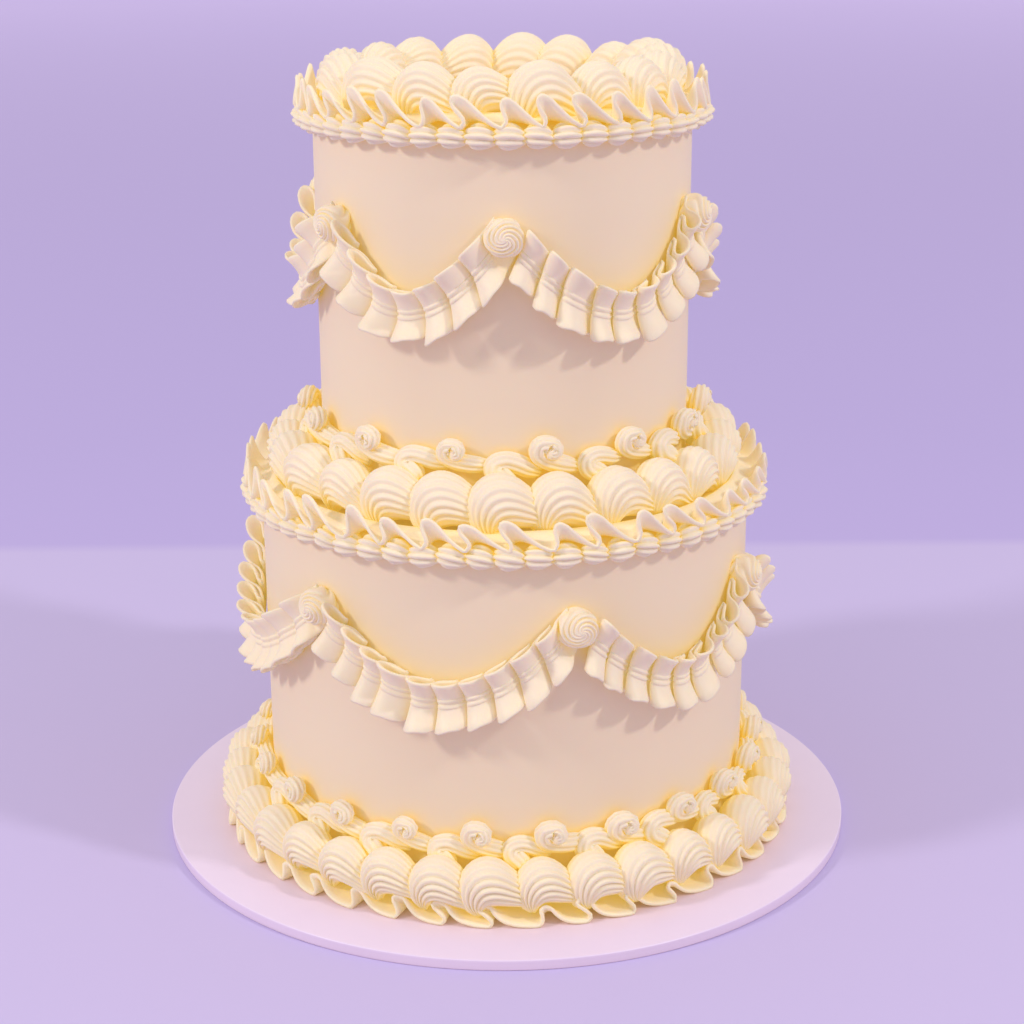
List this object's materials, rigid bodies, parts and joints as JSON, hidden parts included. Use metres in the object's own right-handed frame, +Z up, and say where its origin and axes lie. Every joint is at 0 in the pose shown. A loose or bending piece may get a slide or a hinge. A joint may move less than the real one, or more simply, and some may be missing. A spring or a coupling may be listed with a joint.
{
  "type": "tiered cake",
  "caption": "Tiered round cake on its board, with smooth ivory icing, piped shell, ruffle, bead and scroll borders, and pleated swags hung from rosettes.",
  "frame": {"origin": "centre of the cake board's underside", "axes": "+Z up through the middle of both tiers, -Y towards the front that the picture shows, +X to the viewer's right"},
  "size_m": [0.3, 0.3, 0.3353],
  "materials": {
    "smooth_icing": "smooth ivory buttercream with a soft, slightly waxy sheen",
    "piped_icing": "piped ivory buttercream, fine ridges, golden in the deep folds",
    "board": "white coated cake card, satin"
  },
  "bodies": {
    "root": {"cake_board": "board", "lower_tier": "smooth_icing", "upper_tier": "smooth_icing", "base_ruffle": "piped_icing", "base_shells": "piped_icing", "base_scrolls": "piped_icing", "ledge_beads": "piped_icing", "ledge_ruffle": "piped_icing", "ledge_shells": "piped_icing", "ledge_scrolls": "piped_icing", "top_beads": "piped_icing", "top_ruffle": "piped_icing", "top_shells": "piped_icing", "lower_swag_1": "piped_icing", "lower_swag_2": "piped_icing", "lower_swag_3": "piped_icing", "lower_swag_4": "piped_icing", "lower_swag_5": "piped_icing", "lower_swag_6": "piped_icing", "lower_rosette_1": "piped_icing", "lower_rosette_2": "piped_icing", "lower_rosette_3": "piped_icing", "lower_rosette_4": "piped_icing", "lower_rosette_5": "piped_icing", "lower_rosette_6": "piped_icing", "upper_swag_1": "piped_icing", "upper_swag_2": "piped_icing", "upper_swag_3": "piped_icing", "upper_swag_4": "piped_icing", "upper_swag_5": "piped_icing", "upper_swag_6": "piped_icing", "upper_rosette_1": "piped_icing", "upper_rosette_2": "piped_icing", "upper_rosette_3": "piped_icing", "upper_rosette_4": "piped_icing", "upper_rosette_5": "piped_icing", "upper_rosette_6": "piped_icing"}
  },
  "joints": []
}
